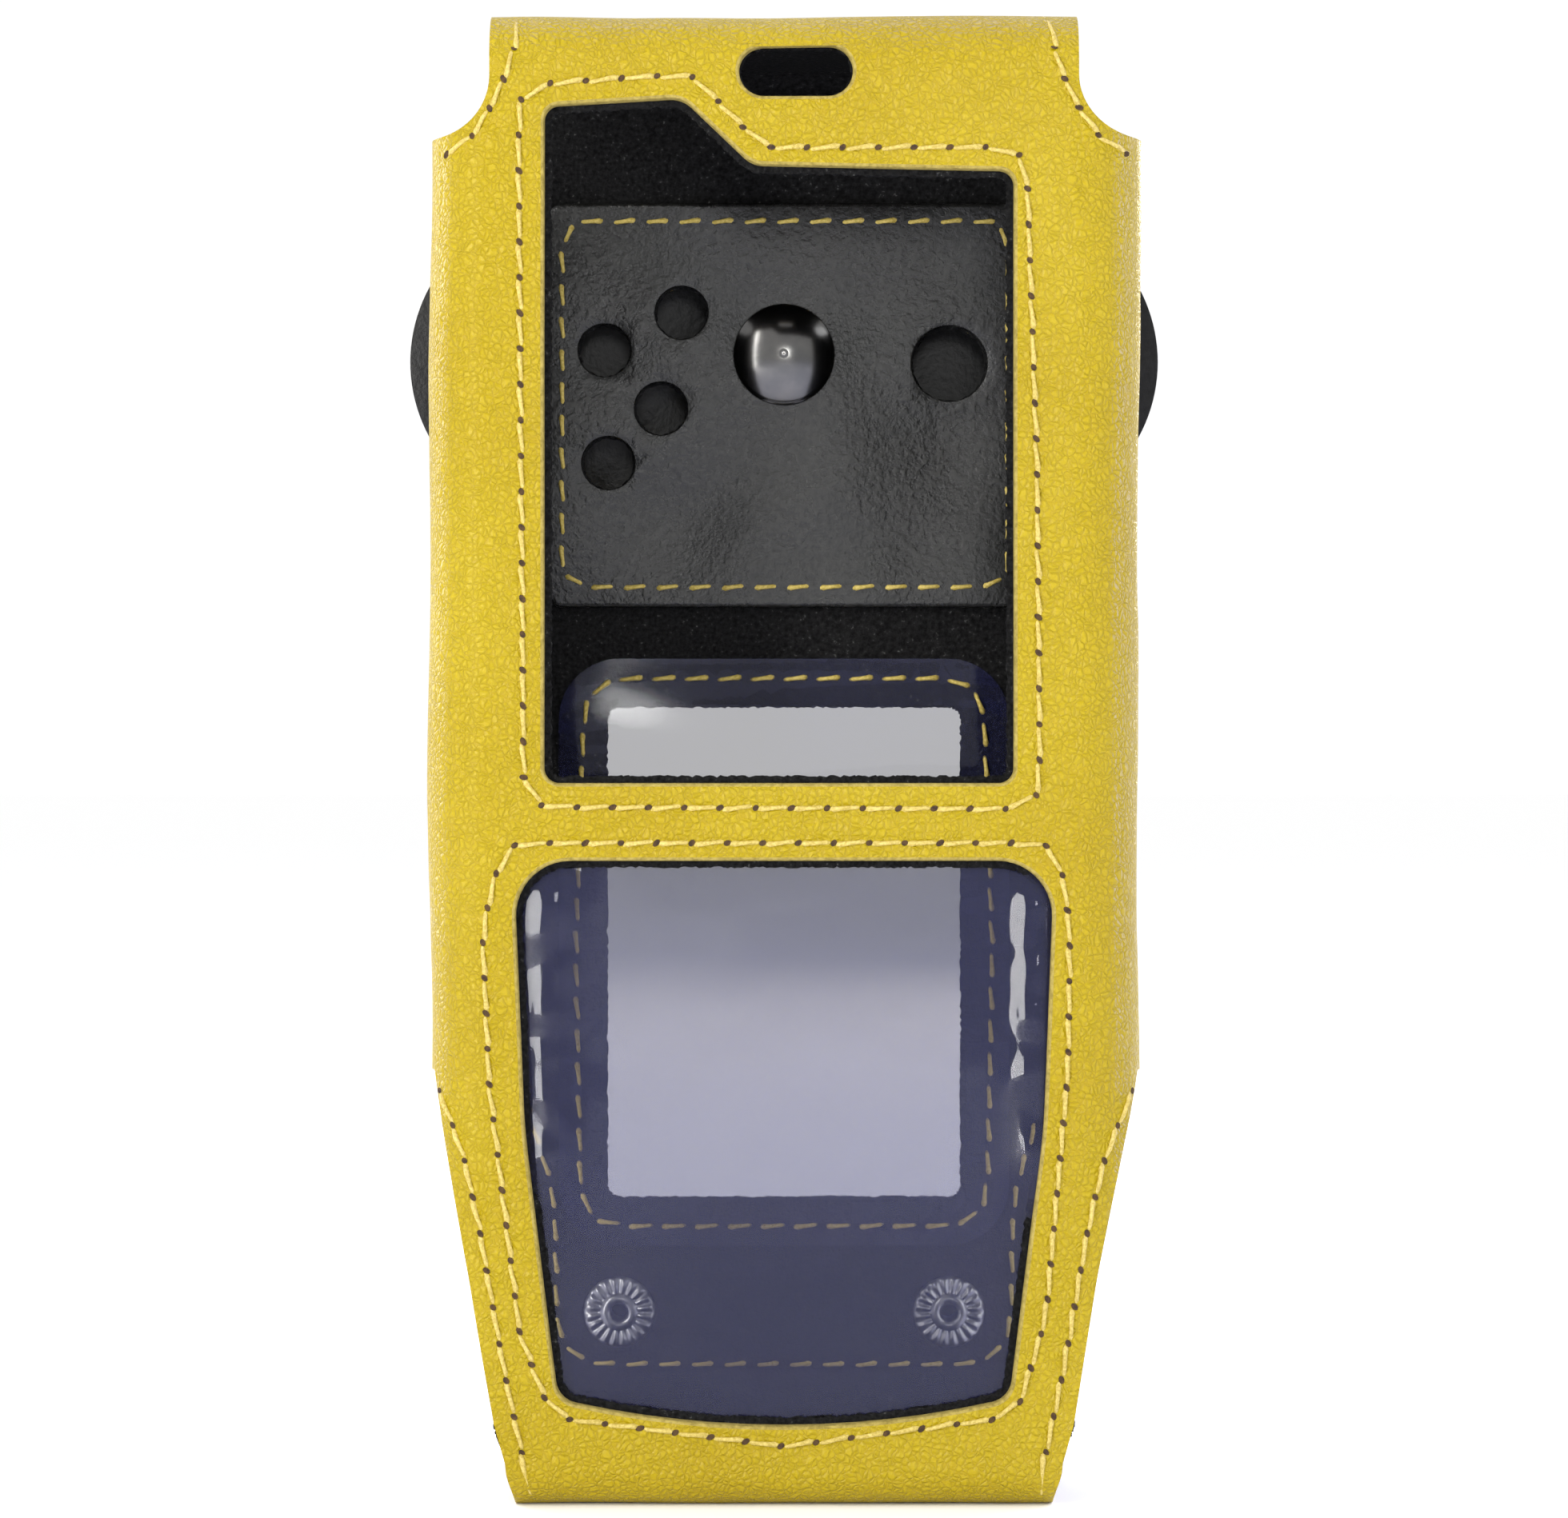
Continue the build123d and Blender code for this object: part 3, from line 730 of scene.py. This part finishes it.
# every row of stitches as (x, z) places in millimetres
sewing = {
    "display": flat(
        (-26.0, 70.2), (25.6, 70.0), (25.3, 105), (24.2, 136.2),
        (-2.2, 136.2), (-9.2, 143.6), (-26.6, 142.4),
    ),
    "keypad": flat(
        (-23.2, 9.2), (-26.4, 17.5), (-29.6, 43), (-30.2, 58), (-28.0, 66.6),
        (27.4, 66.6), (28.6, 58), (28.4, 44), (26.2, 19), (23.2, 9.2), (0, 6.2),
    ),
    "taperOuter": flat((34.9, 41.6), (32.4, 36.2), (30.6, 29), (28.0, 14), (26.2, 5.6)),
    "taperFoot": flat((26.2, 5.6), (25.5, 1.0)),
    "shoulder": flat((34.2, 135.8), (31.4, 137.4), (28.6, 141.4), (27.0, 146.2), (26.7, 149.4)),
    "rearShoulder": flat((26.7, 149.4), (26.7, 131)),
    "rearWindow": flat((-21.6, 25.2), (21.6, 25.2), (22.2, 55), (21.2, 83.6), (-21.2, 83.6), (-22.2, 55)),
    "patch": flat((-23.6, 93.3), (23.8, 93.3), (23.8, 132.2), (-23.6, 132.2)),
    "border": flat(
        (28.6, 134), (28.4, 88), (28.3, 41.5), (26.6, 35), (25.0, 30.5), (24.4, 26), (24.2, 10.4),
    ),
    "flap": flat((24.3, 1.0), (24.3, 21.6), (-24.3, 21.6), (-24.3, 1.0)),
    "seam": flat((0, 46.0), (0, 134.5)),
}
rowLook = {
    "frontCorner": 3 * mm, "windowCorner": 4 * mm, "patchCorner": 1.5 * mm, "borderCorner": 5 * mm,
    "flapCorner": 5 * mm, "flapCornersAbove": 10 * mm, "borderFoot": 24 * mm, "insideTop": 132 * mm,
    "seamY": 7.2 * mm, "seamSunk": 0.12 * mm, "liningThickness": 0.5 * mm,
}


def newThreads():
    return bmesh.new(), bmesh.new()


def finishThreads(name, threads, holes, where):
    # where is a body, or a fold, and for a fold the stitches get no body
    body = where if isinstance(where, str) else None
    for kind, mesh, material in (("Thread", threads, threadTwist), ("Holes", holes, holeShade)):
        piece = finishPiece(name + kind, mesh, body, (material,), smoothAngle=180)
        if not body:
            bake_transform(piece)
    print("stitched:", name)


threads, holes = newThreads()
for row in ("display", "keypad"):
    turns = rounded(sewing[row], rowLook["frontCorner"])
    sewLine(threads, holes, turns, frontSurface, shellOutward, closed=True)
edgeRows = (("taperOuter", frontSurface), ("shoulder", frontSurface), ("rearShoulder", rearStrapSurface))
for row, surface in edgeRows:
    for side in (sewing[row], mirrorX(sewing[row])):
        sewLine(threads, holes, side, surface, shellOutward)
finishThreads("front", threads, holes, "case")

threads, holes = newThreads()
for side in (sewing["taperFoot"], mirrorX(sewing["taperFoot"])):
    sewLine(threads, holes, side, frontSurface, strapOutward)
finishThreads("foot", threads, holes, frontFold)

panelFace = levelSurface(backY, 1)
rearLoop = rounded(sewing["rearWindow"], rowLook["windowCorner"])
patchLoop = rounded(sewing["patch"], rowLook["patchCorner"])
borderRun = rounded(sewing["border"] + mirrorX(sewing["border"])[::-1], rowLook["borderCorner"])
threads, holes = newThreads()
sewLine(threads, holes, rearLoop, panelFace, panelOutward, closed=True)
sewLine(threads, holes, patchLoop, panelFace, panelOutward, closed=True)
for side in (sewing["border"], mirrorX(sewing["border"])):
    sewLine(threads, holes, [p for p in side if p.z > rowLook["borderFoot"]], panelFace, panelOutward)
finishThreads("rear", threads, holes, "case")


def wallSurface(x, direction):
    def surface(p, facing=False):
        return Vector((direction, 0, 0)) if facing else Vector((x, rowLook["seamY"], p.z))
    return surface


threads, holes = newThreads()
seamX = shellHigh.x - rowLook["seamSunk"]
for side in (-1, 1):
    sewLine(threads, holes, sewing["seam"], wallSurface(side * seamX, side), shellOutward)
finishThreads("seam", threads, holes, "case")

# the same rows seen from inside the bay, where the bobbin thread shows
threads, holes = newThreads()
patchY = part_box("clip_reinforcement")[0].y
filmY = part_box("back_window_film")[0].y
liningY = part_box("back_lining")[0].y
sewLine(threads, holes, patchLoop, levelSurface(patchY, -1), panelOutward, closed=True, inside=True)
sewLine(threads, holes, rearLoop, levelSurface(filmY, -1), panelOutward, closed=True, inside=True)
insideBorder = [p for p in borderRun if p.z < rowLook["insideTop"]]
sewLine(threads, holes, insideBorder, levelSurface(liningY, -1), panelOutward, inside=True)
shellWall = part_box("front_lining")[0].y - frontY + rowLook["liningThickness"]
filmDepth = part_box("keypad_film")[1].y - frontY
for row, depth in (("display", shellWall), ("keypad", filmDepth)):
    turns = rounded(sewing[row], rowLook["frontCorner"])
    sewLine(threads, holes, turns, innerFace(depth), shellOutward, closed=True, inside=True)
for side in (sewing["taperOuter"], mirrorX(sewing["taperOuter"])):
    sewLine(threads, holes, side, innerFace(shellWall), shellOutward, inside=True)
finishPiece("insideThread", threads, "case", (threadTwist,), smoothAngle=180)
holes.free()

threads, holes = newThreads()
turns = [p for p in rounded(sewing["flap"], rowLook["flapCorner"]) if p.z > rowLook["flapCornersAbove"]]
flapRun = sewing["flap"][:1] + turns + sewing["flap"][-1:]
sewLine(threads, holes, flapRun, flapSurface, flapOutward)
finishThreads("flap", threads, holes, rearFold)


def hardPiece(name, node, body, material, edge):
    mesh = nodeMesh(node)
    softEdges(mesh, edge)
    finishPiece(name, mesh, body, (material,), (node,))
    print("hard part:", name)


# the last value is the width of the softened edges in millimetres
hardParts = (
    ("clipPlate", "clip_plate", "clip", mouldedBlack, "black_plastic", 0.3),
    ("clipBase", "clip_base", "clip", mouldedBlack, "black_plastic", 0.2),
    ("clipKnob", "clip_knob", "case", smoothBlack, "black_plastic", 0.25),
    ("leftButton", "release_button_left", "button_left", smoothBlack, "black_plastic", 0.25),
    ("rightButton", "release_button_right", "button_right", smoothBlack, "black_plastic", 0.25),
    ("knobRivet", "knob_rivet", "case", gunmetal, "gunmetal", 0.15),
)
for name, node, body, material, slot, edge in hardParts:
    hardPiece(name, node, body, material, edge * mm)
for side in ("left", "right"):
    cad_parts["snap_stud_" + side].data.materials[0] = blackOxide
    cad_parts["snap_socket_" + side].data.materials[0] = blackOxide

# x of each spring's still end, at the clip's rib, and of its moving end, at the tab
springEnds = {"left": (-15.1 * mm, -28.9 * mm), "right": (15.1 * mm, 28.9 * mm)}


def releaseSpring(side):
    # the spring's coil is made from its CAD node and gets no body
    node = "release_spring_" + side
    coil = finishPiece(side + "Spring", nodeMesh(node), None, (springWire,), (node,))
    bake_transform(coil)


for side in springEnds:
    releaseSpring(side)


def spunPiece(name, profile, centre, body, material, node, steps, press=None):
    # profile is a closed run of (radius, y) in millimetres, spun about a line along Y
    mesh = bmesh.new()
    ring = [mesh.verts.new((centre.x + radius * mm, y * mm, centre.z)) for radius, y in profile]
    for a, b in zip(ring, ring[1:] + (ring[:1] if profile[0][0] else [])):
        mesh.edges.new((a, b))
    bmesh.ops.spin(
        mesh, geom=mesh.verts[:] + mesh.edges[:], cent=(centre.x, 0, centre.z), axis=(0, 1, 0),
        angle=math.tau, steps=steps, use_merge=True,
    )
    bmesh.ops.remove_doubles(mesh, verts=mesh.verts, dist=1e-6)
    bmesh.ops.recalc_face_normals(mesh, faces=mesh.faces)
    if press:
        press(mesh, centre)
    finishPiece(name, mesh, body, (material,), (node,), smoothAngle=50)


# in millimetres; each place on the face is (radius, height over its lowest ring)
eyeletLook = {
    "flutes": 20, "inner": 2.1, "outer": 3.55, "depth": 0.12, "behind": 3.0, "steps": 160,
    "face": (
        (0.9, 0.35), (1.1, 0.08), (1.4, 0.0), (1.8, 0.12), (2.0, 0.42),
        (2.3, 0.4), (2.8, 0.32), (3.4, 0.4), (3.65, 0.55),
    ),
    "rim": 3.8, "neck": 1.3, "bore": 0.9,
}


def flute(mesh, centre):
    # pressed teeth between the rolled bore and the outer rim
    look = eyeletLook
    for vertex in mesh.verts:
        x, z = vertex.co.x - centre.x, vertex.co.z - centre.z
        radius = math.hypot(x, z) / mm
        if look["inner"] < radius < look["outer"] and vertex.co.y < look["behind"] * mm:
            wave = math.cos(look["flutes"] * math.atan2(z, x))
            vertex.co.y += look["depth"] * wave * mm


for side in ("left", "right"):
    node = "stud_eyelet_" + side
    low, high = (corner.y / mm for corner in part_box(node))
    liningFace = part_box("back_lining")[0].y / mm
    neck = eyeletLook["neck"]
    profile = [(eyeletLook["bore"], high)] + [(radius, low + height) for radius, height in eyeletLook["face"]]
    profile += [(eyeletLook["rim"], liningFace), (neck, liningFace), (neck, high)]
    centre = sum(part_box(node), Vector()) / 2
    spunPiece(
        side + "Eyelet", profile, centre, "case", eyeletMetal, node, eyeletLook["steps"], flute,
    )

# rim and crown are in millimetres; each place on the dome is a share of (rim, crown)
capLook = {
    "rim": 4.7, "crown": 2.35, "steps": 48,
    "dome": ((0, 0.97), (0.6, 1), (0.86, 0.97), (0.95, 0.88), (0.99, 0.72), (1, 0.5)),
    "lip": 0.1, "foot": 0.94,
}
for side in ("left", "right"):
    rim, crown, base = capLook["rim"], capLook["crown"], flapHigh.y / mm
    profile = [(rim * radius, crown * height) for radius, height in capLook["dome"]]
    profile += [(rim, capLook["lip"]), (rim * capLook["foot"], 0), (0, 0)]
    profile = [(radius, base + height) for radius, height in profile]
    node = "snap_cap_" + side
    centre = sum(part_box(node), Vector()) / 2
    spunPiece(side + "Cap", profile, centre, "flap", blackOxide, node, capLook["steps"])

# lengths in millimetres, lipTurn in degrees
tongueLook = {
    "thickness": 2.3, "sunk": 0.2, "rise": 1.2, "roll": 3.1, "straight": 48.2,
    "lipTurn": 40, "lipRadius": 1.1, "lip": 5.2, "step": 0.7, "columns": 24,
    "flare": 21.5, "shoulder": 14.9, "half": 10.1, "wingDrop": 4.6, "wingCurve": 0.7, "taper": 18.0,
    "taperFrom": 21.5, "ridge": 0.9, "ridgeDip": 0.3, "ridgeFrom": 22, "corner": 2.6, "edge": 0.45,
}


def tonguePath():
    # a run of (y, z) that climbs out of the plate, rolls over its top edge and hangs down behind it
    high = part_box("clip_plate")[1]
    look = tongueLook
    heading = 0.0
    y = high.y / mm - look["sunk"]
    z = high.z / mm - look["thickness"] / 2 - look["roll"] - look["rise"]
    points = [(y, z)]
    # each move is a length and the degrees it turns through
    moves = ((look["rise"], 0), (math.pi * look["roll"], 180), (look["straight"], 0))
    moves += ((math.radians(look["lipTurn"]) * look["lipRadius"], look["lipTurn"]), (look["lip"], 0))
    for length, turn in moves:
        steps = max(2, round(length / look["step"]))
        for _ in range(steps):
            heading += math.radians(turn) / steps / 2
            y += math.sin(heading) * length / steps
            z += math.cos(heading) * length / steps
            heading += math.radians(turn) / steps / 2
            points.append((y, z))
    return points


def clipTongue():
    look = tongueLook
    path = tonguePath()
    shape = bmesh.new()
    bmesh.ops.create_grid(shape, x_segments=look["columns"], y_segments=len(path) - 1, size=1.0)
    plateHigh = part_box("clip_plate")[1]
    top = plateHigh.z / mm
    for vertex in shape.verts:
        row = round((vertex.co.y + 1) / 2 * (len(path) - 1))
        y, z = path[row]
        fromEnd = sum(math.dist(a, b) for a, b in zip(path[row:], path[row + 1:]))
        drop = clamp((top - z) / look["wingDrop"], 0, 1)
        taper = smooth((top - look["wingDrop"] - z) / look["taper"]) if y > look["taperFrom"] else 0.0
        half = look["flare"] + (look["shoulder"] - look["flare"]) * drop ** look["wingCurve"]
        half += (look["half"] - look["shoulder"]) * taper
        if fromEnd < look["corner"]:
            half -= look["corner"] - math.sqrt(look["corner"] ** 2 - (look["corner"] - fromEnd) ** 2)
        across = vertex.co.x
        roof = look["ridge"] * (1 - abs(across)) - look["ridgeDip"] if y > look["ridgeFrom"] else 0.0
        vertex.co = Vector((across * half, y + roof, z)) * mm
    bmesh.ops.recalc_face_normals(shape, faces=shape.faces)
    bmesh.ops.solidify(shape, geom=shape.faces[:], thickness=look["thickness"] / 2 * mm)
    bmesh.ops.recalc_face_normals(shape, faces=shape.faces)
    softEdges(shape, look["edge"] * mm, segments=3, angle=50)
    piece = finishPiece(
        "beltTongue", shape, None, (smoothBlack,), ("clip_tongue",), smoothAngle=30,
    )
    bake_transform(piece)


clipTongue()
print("hard parts done")

# a raised outline on the left wall, where the radio's side button is pressed
buttonMark = {
    "y": -9.0 * mm, "z": 90.6 * mm, "halfLength": 6.5 * mm, "halfHeight": 4.1 * mm, "corner": 2.3 * mm,
    "turn": 0.9 * mm, "bead": 0.55 * mm, "sunk": 0.3 * mm,
}


def sideMark():
    look = buttonMark
    half, tall, corner = look["halfLength"], look["halfHeight"], look["corner"]
    quarter = ((half, tall - corner), (half - corner, tall))
    places = [(y, z) for y, z in quarter] + [(-y, z) for y, z in quarter[::-1]]
    places += [(-y, -z) for y, z in quarter] + [(y, -z) for y, z in quarter[::-1]]
    curve = bpy.data.curves.new("sideMark", "CURVE")
    curve.dimensions = "3D"
    curve.bevel_depth = look["bead"]
    curve.bevel_resolution = 3
    spline = curve.splines.new("POLY")
    corners = [Vector((-shellHigh.x, look["y"] + y, look["z"] + z)) for y, z in places]
    run = rounded(corners, look["turn"], 4)
    spline.points.add(len(run) - 1)
    for point, place in zip(spline.points, run):
        point.co = (*(settle(place, shellOutward) + Vector((look["sunk"], 0, 0))), 1)
    spline.use_cyclic_u = True
    holder = bpy.data.objects.new("sideMarkCurve", curve)
    mesh = bmesh.new()
    mesh.from_mesh(bpy.data.meshes.new_from_object(holder))
    bpy.data.objects.remove(holder)
    bmesh.ops.recalc_face_normals(mesh, faces=mesh.faces)
    finishPiece("sideButtonMark", mesh, "case", (yellowLeather,), smoothAngle=180)


sideMark()
print("side mark done")

stageLook = {"floor": (0.965, 0.965, 0.965), "roughness": 0.9, "reach": 9.0}


def stage():
    mesh = bmesh.new()
    bmesh.ops.create_grid(mesh, x_segments=2, y_segments=2, size=stageLook["reach"])
    data = bpy.data.meshes.new("floor")
    mesh.to_mesh(data)
    mesh.free()
    pale = newMaterial("paleFloor", Base_Color=(*stageLook["floor"], 1), Roughness=stageLook["roughness"])[0]
    data.materials.append(pale)
    floor = bpy.data.objects.new("floor", data)
    bpy.context.scene.collection.objects.link(floor)


def areaLight(name, place, target, size, power, colour):
    lamp = bpy.data.lights.new(name, "AREA")
    lamp.shape = "RECTANGLE"
    lamp.size, lamp.size_y = size
    lamp.energy = power
    lamp.color = colour
    holder = bpy.data.objects.new(name, lamp)
    holder.location = place
    holder.rotation_euler = (Vector(target) - Vector(place)).to_track_quat("-Z", "Y").to_euler()
    bpy.context.scene.collection.objects.link(holder)


stage()
caseMiddle = (0, 0, 0.075)
# each light's place and size in metres, its power in watts and its colour
lights = (
    ("stripLeft", (-0.36, -0.43, 0.20), (0.08, 0.6), 3.0, (1.0, 0.985, 0.95)),
    ("stripRight", (0.45, -0.32, 0.18), (0.30, 0.6), 1.2, (0.97, 0.98, 1.0)),
    ("softFront", (0.035, -0.95, 0.215), (0.16, 0.16), 1.2, (1.0, 1.0, 0.98)),
    ("stripRearLeft", (-0.75, 0.70, 0.45), (0.16, 0.7), 6.0, (1.0, 0.94, 0.84)),
    ("stripRearRight", (0.85, 0.55, 0.25), (0.16, 0.7), 5.0, (0.42, 0.48, 1.0)),
    ("softRear", (0.36, 0.95, 0.40), (0.30, 0.30), 4.5, (1.0, 0.92, 0.78)),
    ("skyPanel", (0.1, 0.35, 1.15), (0.9, 0.9), 9.0, (0.30, 0.36, 1.0)),
)
for name, place, size, power, colour in lights:
    areaLight(name, place, caseMiddle, size, power, colour)

worldLook = {"colour": (1.0, 1.0, 1.0, 1), "strength": 1.03}
world = bpy.data.worlds.new("studio")
world.use_nodes = True
background = world.node_tree.nodes["Background"]
background.inputs["Color"].default_value = worldLook["colour"]
background.inputs["Strength"].default_value = worldLook["strength"]
bpy.context.scene.world = world
bpy.context.scene.view_settings.view_transform = "Standard"
print("studio lit:", len(lights), "lights")

cameraLook = {"distance": 0.450, "height": 0.075, "frameWidth": 156.8 * mm, "sensor": 36.0, "clip": 0.01}
camera = bpy.data.cameras.new("camera")
camera.sensor_width = cameraLook["sensor"]
camera.lens = cameraLook["sensor"] * cameraLook["distance"] / cameraLook["frameWidth"]
camera.clip_start = cameraLook["clip"]
cameraHolder = bpy.data.objects.new("camera", camera)
cameraHolder.location = (0, frontY - cameraLook["distance"], cameraLook["height"])
cameraHolder.rotation_euler = (math.pi / 2, 0, 0)
bpy.context.scene.collection.objects.link(cameraHolder)
bpy.context.scene.camera = cameraHolder
